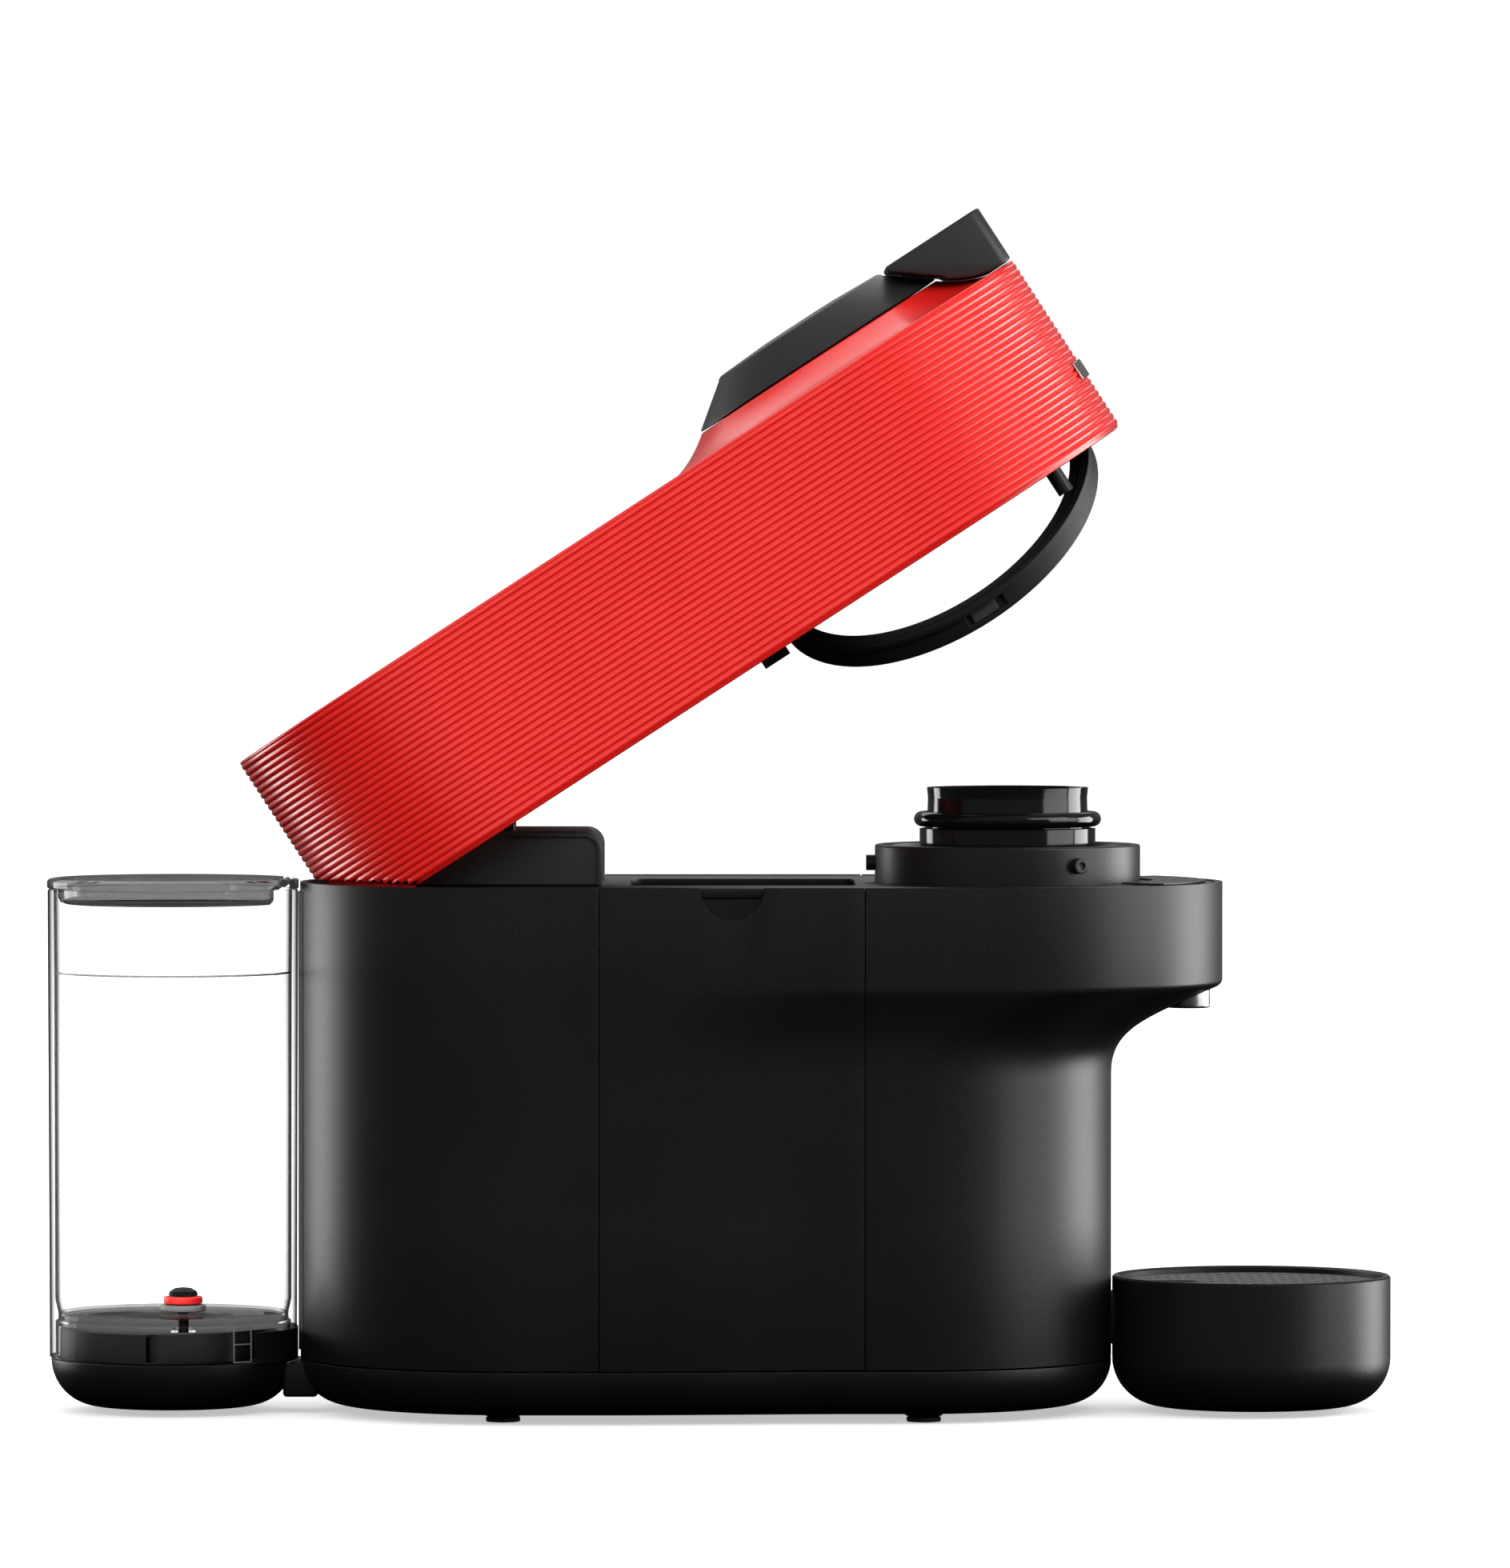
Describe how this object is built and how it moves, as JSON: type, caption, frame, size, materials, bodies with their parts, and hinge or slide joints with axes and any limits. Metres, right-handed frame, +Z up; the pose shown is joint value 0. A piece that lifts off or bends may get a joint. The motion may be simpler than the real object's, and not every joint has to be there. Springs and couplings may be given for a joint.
{
  "type": "pod coffee machine",
  "caption": "Slim pod coffee machine with its ribbed red head swung open over a spinning cup, a water tank behind and a drip tray in front.",
  "frame": {"origin": "on the ground, under the middle of the overall box", "axes": "+X towards the drip tray at the front, +Y across the machine, +Z up"},
  "size_m": [0.4264, 0.1364, 0.3815],
  "materials": {
    "matte_black": "fine matt grain",
    "gloss_black": "polished",
    "glossy_red": "glossy, ribbed",
    "bright_chrome": "polished",
    "satin_steel": "satin",
    "black_rubber": "matt",
    "clear_plastic": "clear moulded plastic",
    "smoke_plastic": "smoke grey translucent plastic",
    "red_seal": "soft",
    "grey_plastic": "matt",
    "circuit_board": "solder mask",
    "milky_hose": "silicone"
  },
  "bodies": {
    "base": {"base_pan": "matte_black", "tank_dock": "matte_black", "tank_plinth": "matte_black", "dock_seal": "black_rubber", "foot_pad_1": "black_rubber", "foot_pad_2": "black_rubber", "foot_pad_3": "black_rubber", "foot_pad_4": "black_rubber", "rear_shell": "matte_black", "front_shell": "matte_black", "far_side_panel": "matte_black", "deck_plate": "matte_black", "deck_grille": "matte_black", "hinge_tower": "matte_black", "hinge_pin": "satin_steel", "capsule_collar": "matte_black", "lock_pin_1": "matte_black", "lock_pin_2": "matte_black", "lock_pin_3": "matte_black", "coffee_duct": "grey_plastic", "coffee_spout": "satin_steel", "motor_stator": "satin_steel", "motor_bracket": "satin_steel", "shaft_bearing": "satin_steel", "boiler": "satin_steel", "water_pump": "grey_plastic", "control_board": "circuit_board", "power_inlet": "black_rubber", "inlet_hose": "milky_hose", "boiler_hose": "milky_hose"},
    "drawer": {"drawer_front": "matte_black", "drawer_bin": "matte_black"},
    "tray": {"drip_tray": "matte_black"},
    "grid": {"drip_grid": "matte_black"},
    "tank": {"tank_body": "clear_plastic", "lid_hinge_bar": "smoke_plastic", "lid_pin": "satin_steel", "valve_flange": "grey_plastic", "valve_seal": "red_seal"},
    "lid": {"tank_lid": "smoke_plastic"},
    "valve": {"valve_poppet": "matte_black"},
    "spinner": {"capsule_cup": "gloss_black", "cup_flange": "gloss_black", "drive_shaft": "satin_steel", "motor_rotor": "satin_steel"},
    "head": {"head_shell": "glossy_red", "head_chassis": "matte_black", "brew_housing": "matte_black", "front_badge": "bright_chrome", "interlock_peg": "matte_black", "brew_hose": "milky_hose", "plate_bearing": "satin_steel"},
    "brew_plate": {"piercing_plate": "satin_steel", "plate_spindle": "satin_steel"},
    "lever": {"lever_cap": "matte_black", "lever_handle": "matte_black", "lever_hub": "matte_black"},
    "button": {"brew_button": "gloss_black"},
    "ring": {"ring_carrier": "matte_black"},
    "lock": {"lock_ring": "matte_black"}
  },
  "joints": [
    {"name": "head_hinge", "type": "hinge", "parent": "base", "child": "head", "pos_m": [-0.099, 0, 0.1862], "axis": [0, -1, 0], "range_deg": [-33.05, 0]},
    {"name": "ring_swing", "type": "hinge", "parent": "head", "child": "ring", "pos_m": [0.06744, 0, 0.2797], "axis": [0.8382, 0, 0.5454], "range_deg": [-31.7, 0]},
    {"name": "lever_turn", "type": "hinge", "parent": "head", "child": "lever", "pos_m": [0.03188, 0, 0.33435], "axis": [-0.5454, 0, 0.8382], "range_deg": [0, 30]},
    {"name": "ring_turn", "type": "hinge", "parent": "ring", "child": "lock", "pos_m": [0.06744, 0, 0.2797], "axis": [-0.4645, -0.524, 0.7139], "range_deg": [0, 30]},
    {"name": "button_press", "type": "slide", "parent": "lever", "child": "button", "axis": [0.5454, 0, -0.8382], "range_m": [0, 0.0015], "stiffness_N_per_m": 800},
    {"name": "plate_spin", "type": "hinge", "parent": "head", "child": "brew_plate", "pos_m": [0.0526, 0, 0.3025], "axis": [-0.5454, 0, 0.8382], "continuous": true},
    {"name": "cup_spin", "type": "hinge", "parent": "base", "child": "spinner", "pos_m": [0.0915, 0, 0.16], "axis": [0, 0, 1], "continuous": true},
    {"name": "drawer_slide", "type": "slide", "parent": "base", "child": "drawer", "axis": [0, -1, 0], "range_m": [0, 0.13]},
    {"name": "tank_slide", "type": "slide", "parent": "base", "child": "tank", "axis": [-0.5454, 0, 0.8382], "range_m": [0, 0.12]},
    {"name": "lid_hinge", "type": "hinge", "parent": "tank", "child": "lid", "pos_m": [-0.1375, 0, 0.1682], "axis": [0, 1, 0], "range_deg": [0, 50]},
    {"name": "valve_lift", "type": "slide", "parent": "tank", "child": "valve", "axis": [0, 0, 1], "range_m": [0, 0.0025], "stiffness_N_per_m": 200},
    {"name": "tray_slide", "type": "slide", "parent": "base", "child": "tray", "axis": [1, 0, 0], "range_m": [0, 0.08]},
    {"name": "grid_lift", "type": "slide", "parent": "tray", "child": "grid", "axis": [0, 0, 1], "range_m": [0, 0.03]}
  ],
  "couplings": [
    {"joint": "ring_swing", "follows": "head_hinge", "ratio": 0.9561},
    {"joint": "ring_turn", "follows": "lever_turn", "ratio": 1}
  ]
}
